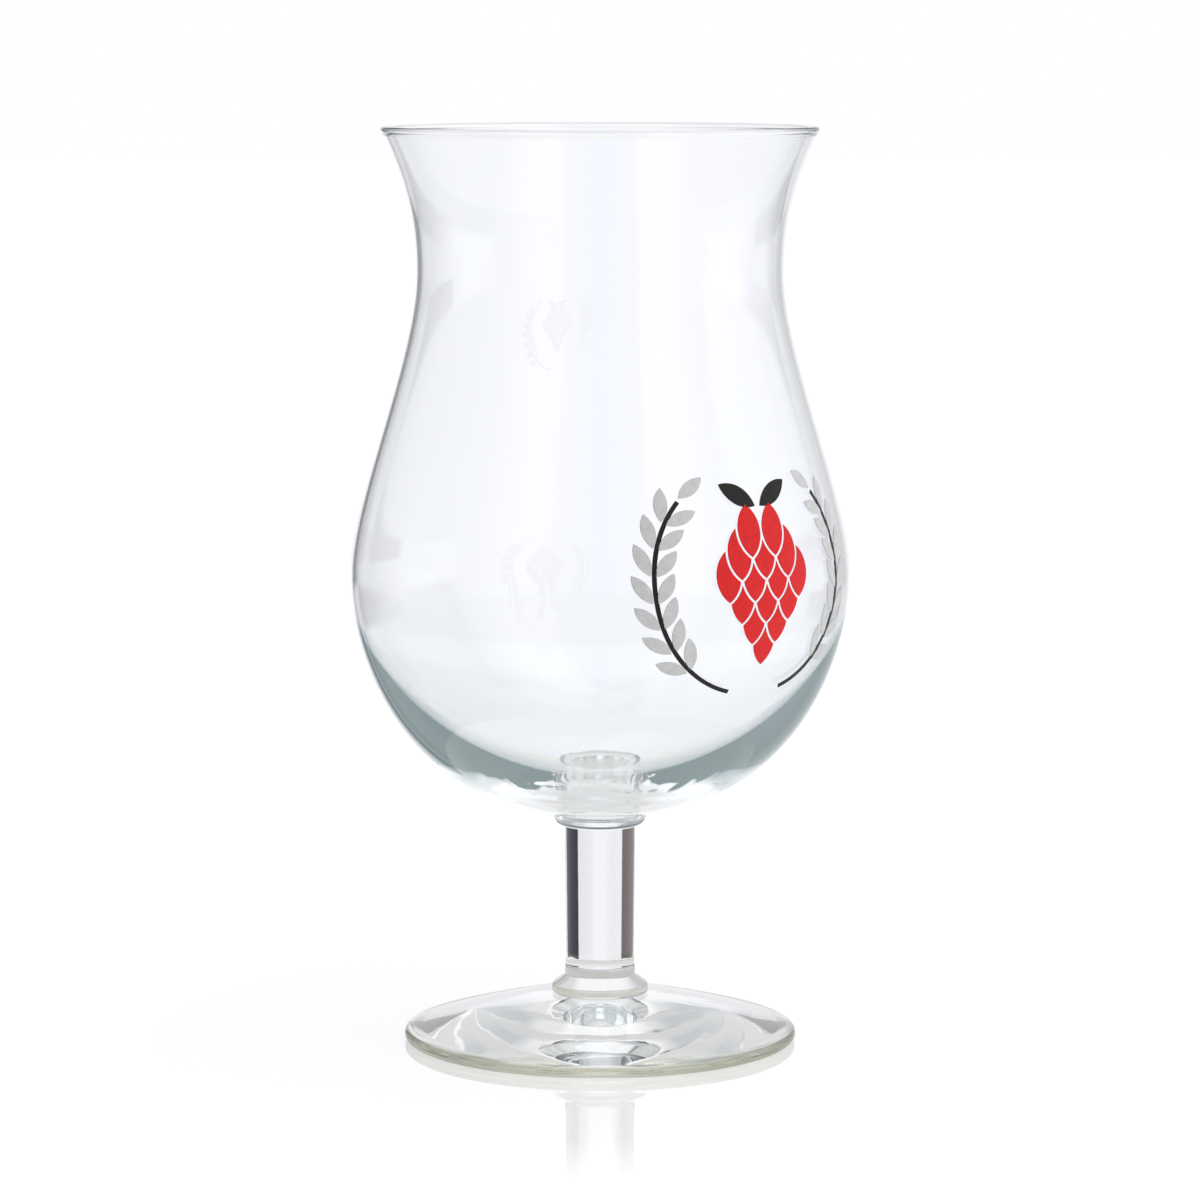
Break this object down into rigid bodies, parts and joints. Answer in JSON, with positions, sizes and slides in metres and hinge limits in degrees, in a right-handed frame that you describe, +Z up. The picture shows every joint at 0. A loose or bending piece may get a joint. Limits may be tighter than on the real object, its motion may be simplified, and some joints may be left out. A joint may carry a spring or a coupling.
{
  "type": "tulip beer glass",
  "caption": "Stemmed tulip beer glass with a flared lip, a solid stem between two collars, a round foot and a small enamel print on the bowl.",
  "frame": {"origin": "centre of the ring that the foot stands on", "axes": "+Z up along the axis of the glass, -Y towards the front; the print is turned to the right of the front"},
  "size_m": [0.0898, 0.0898, 0.165],
  "materials": {
    "clear_glass": "fire polished, colourless with a faint blue-green tint in thick parts",
    "enamel_grey": "satin fired enamel",
    "enamel_red": "satin fired enamel",
    "enamel_black": "satin fired enamel"
  },
  "bodies": {
    "root": {"bowl": "clear_glass", "upper_collar": "clear_glass", "stem": "clear_glass", "lower_collar": "clear_glass", "foot": "clear_glass", "print_grey": "enamel_grey", "print_red": "enamel_red", "print_black": "enamel_black"}
  },
  "joints": []
}
